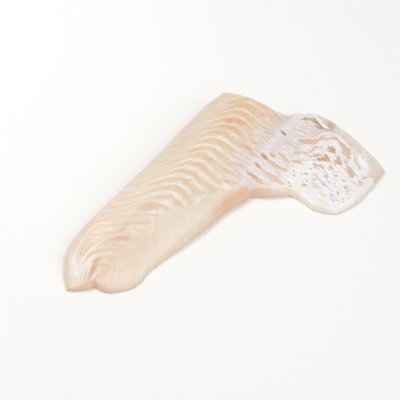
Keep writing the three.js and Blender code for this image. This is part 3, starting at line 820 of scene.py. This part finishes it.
def fillet_shell(plan):
    """The top's grid, its rim doubled under it and the flat base, at grid places instead of real ones."""
    bm = bmesh.new()
    to_places = Matrix.Diagonal((plan.columns, plan.rows, 1, 1)) @ Matrix.Translation((0.5, 0.5, 0))
    bmesh.ops.create_grid(bm, x_segments=plan.columns, y_segments=plan.rows, size=0.5, matrix=to_places)
    outside = []
    rim = []
    for face in bm.faces:
        middle = face.calc_center_median()
        i, j = middle.x, middle.y
        if not plan.inside(i, j):
            outside.append(face)
        elif plan.cells_in(i, j) < len(EDGE_ROWS):
            rim.append(face)
    bmesh.ops.delete(bm, geom=outside, context="FACES")
    copied = bmesh.ops.duplicate(bm, geom=[face for face in rim if face.is_valid])["geom"]
    under = [item for item in copied if isinstance(item, bmesh.types.BMFace)]
    bmesh.ops.reverse_faces(bm, faces=under)
    for vert in (item for item in copied if isinstance(item, bmesh.types.BMVert)):
        vert.co.z = -float(plan.cells_in(round(vert.co.x), round(vert.co.y)))
    bmesh.ops.remove_doubles(bm, verts=bm.verts, dist=0.01)
    open_edges = [edge for edge in bm.edges if len(edge.link_faces) == 1]
    base = bmesh.ops.edgeloop_fill(bm, edges=open_edges)["faces"]
    for face in bm.faces:
        face.smooth = True
    for face in base:
        face.material_index = 1
    return bm


def to_frame(points, heights):
    """Frame coordinates in metres of plan points and heights in millimetres."""
    return np.stack([LOW.x + points[:, 0] * MM, HIGH.y - points[:, 1] * MM, heights * MM], -1)


def flesh_mesh(sizes, seed):
    """The whole skin of the fillet, with every field's value at each vertex."""
    plan = Plan(sizes.grid_step / MM)
    bm = fillet_shell(plan)
    mesh = bpy.data.meshes.new("fillet_flesh")
    bm.to_mesh(mesh)
    bm.free()
    grid = np.empty(len(mesh.vertices) * 3, np.float32)
    mesh.vertices.foreach_get("co", grid)
    grid = grid.reshape(-1, 3)
    i, j = np.rint(grid[:, :2].T).astype(int)
    points, across = plan.points(i, j)
    back_edge, _ = plan.points(i, np.zeros_like(j))
    far_edge, _ = plan.points(i, np.full_like(j, plan.seam))
    blocks = block_count(points, APEX_LINE - back_edge[:, 1], far_edge[:, 1] - APEX_LINE)
    near = {side: reach(points, side) for side in SIDES}
    fields = surface_fields(points, near, blocks, seed)
    rim = rim_heights(points, near)
    top = top_heights(points, across, near, rim, fields, sizes)
    under = np.minimum(-grid[:, 2] / len(EDGE_ROWS), 1)
    heights = np.where(under > 0, rim * (1 - quarter(under)), top)
    edging = np.exp(-plan.cells_in(i, j) / EDGE_CELLS)[:, None]
    points = points + edging * swayed(points, *EDGE_SWAY) * EDGE_RAGGED
    mesh.vertices.foreach_set("co", to_frame(points, heights).astype(np.float32).ravel())
    for name, values in fields.items():
        attribute = mesh.attributes.new(name, "FLOAT", "POINT")
        attribute.data.foreach_set("value", values.astype(np.float32))
    bm = bmesh.new()
    bm.from_mesh(mesh)
    bmesh.ops.recalc_face_normals(bm, faces=bm.faces)
    bm.to_mesh(mesh)
    bm.free()
    return mesh


# ---- shaders ----

class Socket:
    """An output of a shader node, on which arithmetic adds Math nodes."""

    def __init__(self, shader, output):
        self.shader, self.output = shader, output

    def __add__(self, other):
        return self.shader.maths("ADD", self, other)

    def __radd__(self, other):
        return self.shader.maths("ADD", other, self)

    def __sub__(self, other):
        return self.shader.maths("SUBTRACT", self, other)

    def __rsub__(self, other):
        return self.shader.maths("SUBTRACT", other, self)

    def __mul__(self, other):
        return self.shader.maths("MULTIPLY", self, other)

    def __rmul__(self, other):
        return self.shader.maths("MULTIPLY", other, self)


class Shader:
    """A material's node tree, written as expressions on sockets."""

    def __init__(self, name):
        self.material = bpy.data.materials.new(name)
        self.material.use_nodes = True
        self.tree = self.material.node_tree
        self.tree.nodes.clear()

    def node(self, kind, settings=None, inputs=None, output=0):
        """Adds a node, sets its settings, then its inputs by name or number, and gives one output."""
        node = self.tree.nodes.new(kind)
        for name, value in (settings or {}).items():
            setattr(node, name, value)
        for name, value in (inputs or {}).items():
            if isinstance(value, Socket):
                self.tree.links.new(value.output, node.inputs[name])
            else:
                node.inputs[name].default_value = value
        return Socket(self, node.outputs[output])

    def maths(self, operation, a, b=0.0):
        return self.node("ShaderNodeMath", {"operation": operation}, {0: a, 1: b})

    def field(self, name):
        """A value that the mesh carries at its vertices."""
        return self.node("ShaderNodeAttribute", {"attribute_name": name}, output="Fac")

    def place(self):
        """The place on the object, in metres."""
        return self.node("ShaderNodeTexCoord", output="Object")

    def plan_place(self):
        """The x and the y of the place on the object."""
        split = self.node("ShaderNodeSeparateXYZ", inputs={0: self.place()}).output.node
        return [Socket(self, split.outputs[k]) for k in (0, 1)]

    def noise(self, vector, scale, detail=2.0, roughness=0.5):
        return self.node(
            "ShaderNodeTexNoise",
            inputs={"Vector": vector, "Scale": scale, "Detail": detail, "Roughness": roughness},
        )

    def grain(self, x, y, z=0.0, detail=2.0, roughness=0.6):
        """Noise over coordinates that have their own scales, which draws it out into streaks."""
        vector = self.node("ShaderNodeCombineXYZ", inputs={0: x, 1: y, 2: z})
        return self.noise(vector, 1.0, detail, roughness)

    def rise(self, value, low, high):
        """0 up to low, 1 from high on, and a smooth rise between."""
        return self.node(
            "ShaderNodeMapRange",
            {"interpolation_type": "SMOOTHSTEP"},
            {"Value": value, "From Min": low, "From Max": high},
        )

    def mix(self, share, first, second):
        """A colour between two sockets or settings, by a share of the second."""
        first, second = [end if isinstance(end, Socket) else rgba(end) for end in (first, second)]
        return self.node("ShaderNodeMix", {"data_type": "RGBA"}, {0: share, 6: first, 7: second}, output=2)

    def layers(self, colour, *layers):
        """A colour with others laid over it in turn, each by its share."""
        for share, over in layers:
            colour = self.mix(share, colour, over)
        return colour

    def finish(self, inputs, strength, depth, height):
        """Ends the material in one surface, with bumps of a height."""
        bump = self.node("ShaderNodeBump", inputs={"Strength": strength, "Distance": depth, "Height": height})
        surface = self.node("ShaderNodeBsdfPrincipled", inputs={**inputs, "Normal": bump})
        end = self.tree.nodes.new("ShaderNodeOutputMaterial")
        self.tree.links.new(surface.output, end.inputs["Surface"])
        return self.material


def rgba(colour):
    return (*colour, 1.0)


def flesh_material(colours):
    """Wet flesh: bands that follow the muscle blocks, stains, painted highlights, painted shade in the
    membrane's tears, and the membrane over the flap.
    """
    s = Shader("haddock_flesh")
    blocks, stripe, split = s.field("muscle_blocks"), s.field("stripe"), s.field("split")
    lobe, fan, hatch = s.field("lobe"), s.field("fan"), s.field("hatch")
    x, y = s.plan_place()

    wander = s.noise(s.place(), 55.0) - 0.5
    fray = s.grain(blocks * 1.6, y * 210.0, roughness=0.5) - 0.5
    hairs = s.grain(blocks * 22.0, y * 190.0, x * 30.0)
    teeth = s.grain((x + y * 0.3) * 480.0, y * 70.0) - 0.5
    streaks = s.grain(blocks * 6.0, y * 95.0, x * 9.0, detail=3.0)
    fibres = s.grain(x * 430.0, y * 80.0)
    sweeps = s.grain((y - x * 0.3) * 420.0, x * 40.0)
    clouds = s.noise(s.place(), 38.0, 3.0, 0.6)
    flecks = s.rise(s.noise(s.place(), 620.0, 1.0), 0.7, 0.78)
    count = blocks + wander * 0.3 + fray * 0.45 + (hairs - 0.5) * 0.35 + teeth * 0.5
    wave = s.maths("COSINE", count * (2 * math.pi)) * 0.5 + 0.5
    twin = s.maths("COSINE", (count + 0.05) * (4 * math.pi)) * 0.5 + 0.5
    pale = s.rise(wave, 0.66, 0.96) * (1 - split * 0.6) + s.rise(twin, 0.55, 0.95) * split * 0.8
    tan = s.rise(wave, 0.7, 0.15) * (1 - 0.35 * split) * stripe * (0.36 + clouds * 0.6)
    lined = 1 - lobe * 0.85
    # How strongly the painted highlights and the milky spots show, in streaks.
    highlight_and_milk_share = 0.25 + s.rise(streaks, 0.3, 0.65) * lined * 0.6
    flesh = s.layers(
        colours.flesh,
        (s.field("loin") * 0.9, colours.loin),
        (s.field("tail") * 0.6, colours.tail),
        (s.field("front") * 0.75, colours.band),
        (split * 0.3, colours.veil),
        (tan, colours.band),
        (pale * stripe * (streaks * 1.5 - 0.1), colours.sheet),
        (s.rise(hairs, 0.5, 0.8) * lined * 0.45, colours.sheet),
        (s.rise(streaks, 0.52, 0.3) * lined * 0.5, colours.band),
        (s.rise(streaks, 0.52, 0.75) * lined * 0.5, colours.sheet),
        (s.rise(sweeps, 0.5, 0.75) * lobe * 0.6, colours.sheet),
        (s.field("orange") * (0.15 + streaks * 0.7 + hairs * 0.7), colours.orange),
        (s.field("rose") * (s.rise(hairs, 0.3, 0.65) + 0.15), colours.rose),
        (s.rise(fibres, 0.52, 0.68) * hatch * 0.4, colours.rose),
        (s.rise(fibres, 0.5, 0.36) * hatch * 0.7, colours.silver),
        (s.field("dark") * 0.85, colours.dark),
        (fan * s.rise(wave, 0.5, 0.1) * 0.12, colours.edge),
        (fan * s.rise(wave, 0.75, 1.0) * 0.25, colours.membrane),
        (s.field("strokes") * (0.45 + hairs * 0.8), colours.membrane),
        (flecks * 0.5, colours.membrane),
        # Painted highlights and milky spots, in the membrane's white.
        (s.field("highlight_and_milk") * highlight_and_milk_share, colours.membrane),
    )

    strand, cover, flap = s.field("strand"), s.field("cover"), s.field("flap")
    milk, margin = s.field("milk"), s.field("margin")
    shreds = s.noise(s.place(), 430.0, 3.0, 0.65)
    tear = s.grain(strand * 0.48, y * 70.0, roughness=0.5)
    comb = s.grain(strand * 0.95, y * 60.0, roughness=0.55)
    fibre = s.grain(strand * 1.1, y * 26.0)
    slots = s.layers(
        colours.bare,
        (s.field("redness"), colours.raw),
        (s.rise(tear, 0.52, 0.66) * 0.7, colours.veil),
        (margin, colours.margin),
        (s.rise(comb, 0.55, 0.75) * margin * 0.5, colours.veil),
        (s.field("brink") * (0.3 + tear), colours.sheet),
    )
    rim = s.rise(cover, 0.0, 0.5) * s.rise(cover, 2.6, 0.8)
    thick = s.maths("MAXIMUM", milk, rim * (comb * 1.6 - 0.1))
    slits = s.rise(s.field("dashes") + (shreds - 0.5) * 0.9, 0.35, -0.35) * 0.8
    dots = s.rise(s.field("dots") + (shreds - 0.5) * 0.3, 0.2, 0.55)
    membrane = s.layers(
        colours.veil,
        (s.rise(comb, 0.5, 0.3), colours.bare),
        (s.rise(comb, 0.48, 0.66), colours.silver),
        (thick * (0.8 + shreds * 0.6), colours.membrane),
        (s.rise(fibre, 0.5, 0.66) * 0.4, colours.silver),
        (s.rise(fibre, 0.48, 0.36) * 0.5, colours.dash),
        (s.field("thin") * (0.4 + comb * 0.5), colours.bare),
        (s.field("fat"), colours.fat),
        (s.maths("MAXIMUM", slits, dots), s.mix(milk, colours.bare, colours.dash)),
    )
    whole = s.rise(cover + (shreds - 0.5) * 1.2 + (comb - 0.5) * 3.0 + (tear - 0.5) * 6.5, -0.35, 0.35)
    peach = s.field("edge") * (1 - 0.5 * whole * flap) * (0.35 + clouds * 0.4 + streaks * 0.4)
    colour = s.layers(
        flesh,
        (flap, s.mix(whole, slots, membrane)),
        (s.field("film") * s.rise(streaks, 0.25, 0.6), colours.silver),
        (peach, colours.edge),
        # Painted shade in the membrane's tears, where the membrane is gone.
        (s.field("slot_shade") * (0.3 + comb), colours.shade),
    )

    skin = whole * flap
    height = (hairs * 0.4 + streaks * 0.6 + teeth * 0.3) * lined + (comb + fibre * 0.4) * skin * 0.8
    inputs = {
        **WET_FLESH,
        "Base Color": colour,
        "Roughness": 0.42 - 0.1 * skin + (clouds - 0.5) * 0.16,
        "IOR": 1.38,
        "Coat Weight": 0.2 + 0.3 * clouds,
        "Coat Roughness": 0.24,
        "Coat IOR": 1.35,
    }
    return s.finish(inputs, 0.5, BUMP_DEPTH, height)


def cut_side_material(colours):
    """The underside, cut from the bones: the same flesh with paler chevrons."""
    s = Shader("haddock_cut_side")
    x, y = s.plan_place()
    wander = s.noise(s.place(), 50.0) - 0.5
    aside = s.maths("ABSOLUTE", y - (HIGH.y - APEX_LINE * MM))
    count = (x + aside * 0.9 + wander * 0.003) * CHEVRONS_PER_METRE
    wave = s.maths("COSINE", count * (2 * math.pi)) * 0.5 + 0.5
    streaks = s.grain(count * 6.0, y * 60.0, detail=3.0)
    colour = s.layers(
        colours.flesh,
        (s.rise(wave, 0.7, 0.98) * 0.7, colours.sheet),
        (s.rise(streaks, 0.55, 0.3) * 0.4, colours.band),
    )
    inputs = {
        **WET_FLESH,
        "Base Color": colour,
        "Roughness": 0.4 + (streaks - 0.5) * 0.1,
        "Coat Weight": 0.35,
        "Coat Roughness": 0.15,
    }
    return s.finish(inputs, 0.3, BUMP_DEPTH, streaks - wave)


def membrane_material(colours):
    """Loose shreds of the membrane: white, wet and a little uneven."""
    s = Shader("loose_membrane")
    specks = s.noise(s.place(), 700.0, 3.0, 0.6)
    inputs = {
        "Base Color": s.mix(s.rise(specks, 0.4, 0.7) * 0.3, colours.membrane, colours.silver),
        "Roughness": 0.34 + (specks - 0.5) * 0.1,
        "Coat Weight": 0.4,
        "Coat Roughness": 0.12,
    }
    return s.finish(inputs, 0.3, THREAD_BUMP_DEPTH, specks)


def floor_material(colour):
    """A pale floor with a faint mottle."""
    s = Shader("floor_paint")
    mottle = s.noise(s.place(), 3.0)
    inputs = {"Base Color": rgba(colour), "Roughness": 0.7 + mottle * 0.1}
    return s.finish(inputs, 0.02, FLOOR_BUMP_DEPTH, mottle)


# ---- pieces ----

def place_piece(name, mesh, materials):
    """Puts a mesh in the scene as a piece of the fillet."""
    piece = bpy.data.objects.new(name, mesh)
    bpy.context.scene.collection.objects.link(piece)
    for material in materials:
        mesh.materials.append(material)
    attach(piece, "root")
    return piece


class FleshOperator(bpy.types.Operator):
    """Model the fillet's flesh over its solid"""

    bl_idname = "fillet.add_flesh"
    bl_label = "Add Flesh"

    def execute(self, context):
        scene = context.scene
        mesh = flesh_mesh(scene.fillet_sizes, scene.fillet_stage.seed)
        materials = [flesh_material(scene.fillet_colours), cut_side_material(scene.fillet_colours)]
        piece = place_piece("flesh", mesh, materials)
        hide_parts("fillet")
        return {"FINISHED"}


def add_thread(bm, path, radii):
    """A round thread along points in metres, its skin a grid rolled up along it."""
    last = len(path) - 1
    to_places = Matrix.Diagonal((last, THREAD_SIDES, 1, 1)) @ Matrix.Translation((0.5, 0.5, 0))
    grid = bmesh.ops.create_grid(bm, x_segments=last, y_segments=THREAD_SIDES, size=0.5, matrix=to_places)
    for vert in grid["verts"]:
        k = round(vert.co.x)
        turn = vert.co.y / THREAD_SIDES * 2 * math.pi
        ahead = (path[min(k + 1, last)] - path[max(k - 1, 0)]).normalized()
        aside = ahead.cross(Vector((0, 0, 1))).normalized()
        sideways = aside * math.cos(turn) * THREAD_BREADTH
        upwards = aside.cross(ahead) * math.sin(turn) * THREAD_HEIGHT
        vert.co = path[k] + (sideways + upwards) * radii[k]
    bmesh.ops.remove_doubles(bm, verts=grid["verts"], dist=1e-7)


def loose_strands():
    """The threads, then the combs, the short strands along the torn front and those in the ragged corner."""
    draw = np.random.default_rng(THREAD_SEED)
    strands = [(spline(points), thickness) for points, thickness in THREADS]
    for first, last, run, number, thickness in COMBS:
        for share in np.linspace(0, 1, number):
            even_root = np.array(first) * (1 - share) + np.array(last) * share
            root = even_root + draw.uniform(-ROOT_SHAKE, ROOT_SHAKE, 2)
            tip = root + np.array(run) * draw.uniform(*COMB_LENGTHS) + draw.uniform(-TIP_SHAKE, TIP_SHAKE, 2)
            middle = (root + tip) / 2 + draw.uniform(-ROOT_SHAKE, ROOT_SHAKE, 2)
            strands.append((spline([root, middle, tip]), thickness * draw.uniform(*COMB_THICKNESS)))
    front = spline(MEMBRANE_FRONT)
    for share in np.arange(FRINGE_FROM, FRINGE_TO, FRINGE_STEP):
        start = front(share)
        ahead = front(share + FRINGE_STEP / 2) - start
        outward = math.atan2(ahead[1], ahead[0]) - math.pi / 2
        curve = bent_strand(start, outward + draw.uniform(*FRINGE_TURNS), draw.uniform(*FRINGE_LENGTHS), draw)
        strands.append((curve, draw.uniform(*FRINGE_THICKNESS)))
    for _ in range(CORNER_STRANDS):
        start = np.array([draw.uniform(*CORNER_X), draw.uniform(*CORNER_W)])
        curve = bent_strand(start, draw.uniform(*CORNER_TURNS), draw.uniform(*CORNER_LENGTHS), draw)
        strands.append((curve, draw.uniform(*CORNER_THICKNESS)))
    return strands


def bent_strand(start, turn, length, draw):
    """A short curved line in plan from a start, in a direction in radians."""
    bend = draw.uniform(-STRAND_BEND, STRAND_BEND)
    steps = [start]
    for k in range(STRAND_STEPS):
        heading = turn + bend * k
        steps.append(steps[-1] + np.array([math.cos(heading), math.sin(heading)]) * length / STRAND_STEPS)
    return spline(steps)


class ThreadsOperator(bpy.types.Operator):
    """Lay loose threads and strands of membrane on the flap"""

    bl_idname = "fillet.add_threads"
    bl_label = "Add Threads"

    def execute(self, context):
        flesh = context.scene.objects["flesh"]
        surface = BVHTree.FromObject(flesh, context.evaluated_depsgraph_get())
        bm = bmesh.new()
        shares = np.linspace(0, 1, THREAD_STEPS + 1)
        for curve, thickness in loose_strands():
            radii = thickness / 2 * MM * np.sqrt(np.sin(shares * math.pi))
            path = []
            for (x, y, _), radius in zip(to_frame(curve(shares), np.zeros(len(shares))), radii):
                place = surface.ray_cast(Vector((x, y, RAY_START)), Vector((0, 0, -1)))[0]
                height = place.z if place else END_RIM * MM
                path.append(Vector((x, y, height + radius * THREAD_RISE)))
            add_thread(bm, path, radii)
        bmesh.ops.recalc_face_normals(bm, faces=bm.faces)
        for face in bm.faces:
            face.smooth = True
        mesh = bpy.data.meshes.new("membrane_threads")
        bm.to_mesh(mesh)
        bm.free()
        place_piece("membrane_threads", mesh, [membrane_material(context.scene.fillet_colours)])
        return {"FINISHED"}


class StageOperator(bpy.types.Operator):
    """Add the floor, the lights and the camera"""

    bl_idname = "fillet.add_stage"
    bl_label = "Add Stage"

    def execute(self, context):
        scene = context.scene
        stage = scene.fillet_stage
        bm = bmesh.new()
        bmesh.ops.create_grid(bm, x_segments=1, y_segments=1, size=FLOOR_HALF)
        mesh = bpy.data.meshes.new("floor")
        bm.to_mesh(mesh)
        bm.free()
        mesh.materials.append(floor_material(stage.floor))
        floor = bpy.data.objects.new("floor", mesh)
        scene.collection.objects.link(floor)

        add_area_light("key", stage.key_power)
        add_area_light("front", stage.front_power)
        world = bpy.data.worlds.new("studio")
        world.use_nodes = True
        background = world.node_tree.nodes["Background"]
        background.inputs["Color"].default_value = SKY_COLOUR
        background.inputs["Strength"].default_value = stage.fill
        scene.world = world
        scene.view_settings.view_transform = "Standard"

        lens = bpy.data.cameras.new("camera")
        lens.lens = stage.lens / MM
        lens.sensor_width = SENSOR_MM
        lens.clip_start = CLIP_START
        camera = bpy.data.objects.new("camera", lens)
        camera.location = CAMERA_PLACE
        camera.rotation_euler = (math.radians(90 - CAMERA_TILT), 0, math.radians(CAMERA_HEADING - 90))
        scene.collection.objects.link(camera)
        scene.camera = camera
        return {"FINISHED"}


def add_area_light(name, power):
    """A square soft light that looks at the middle of the fillet."""
    direction, distance, size = LIGHTS[name]
    light = bpy.data.lights.new(name, "AREA")
    light.energy = power
    light.size = size
    piece = bpy.data.objects.new(name, light)
    toward = Vector(direction).normalized()
    piece.location = toward * distance
    piece.rotation_euler = toward.to_track_quat("Z", "Y").to_euler()
    bpy.context.scene.collection.objects.link(piece)


class FilletPanel(bpy.types.Panel):
    bl_label = "Haddock Fillet"
    bl_idname = "VIEW3D_PT_haddock_fillet"
    bl_space_type = "VIEW_3D"
    bl_region_type = "UI"
    bl_category = "Fillet"

    def draw(self, context):
        for operator in OPERATORS:
            self.layout.operator(operator.bl_idname)
        for group in GROUPS:
            settings = getattr(context.scene, group)
            for name in settings.__annotations__:
                self.layout.prop(settings, name)


OPERATORS = (FleshOperator, ThreadsOperator, StageOperator)
GROUPS = {"fillet_sizes": FilletSizes, "fillet_colours": FilletColours, "fillet_stage": FilletStage}


def register():
    for cls in (*GROUPS.values(), *OPERATORS, FilletPanel):
        bpy.utils.register_class(cls)
    for name, cls in GROUPS.items():
        setattr(bpy.types.Scene, name, PointerProperty(type=cls))


def unregister():
    for name in GROUPS:
        delattr(bpy.types.Scene, name)
    for cls in (FilletPanel, *OPERATORS, *GROUPS.values()):
        bpy.utils.unregister_class(cls)


def main():
    register()
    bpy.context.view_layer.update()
    bpy.ops.fillet.add_flesh()
    bpy.ops.fillet.add_threads()
    bpy.ops.fillet.add_stage()


if __name__ == "__main__":
    main()
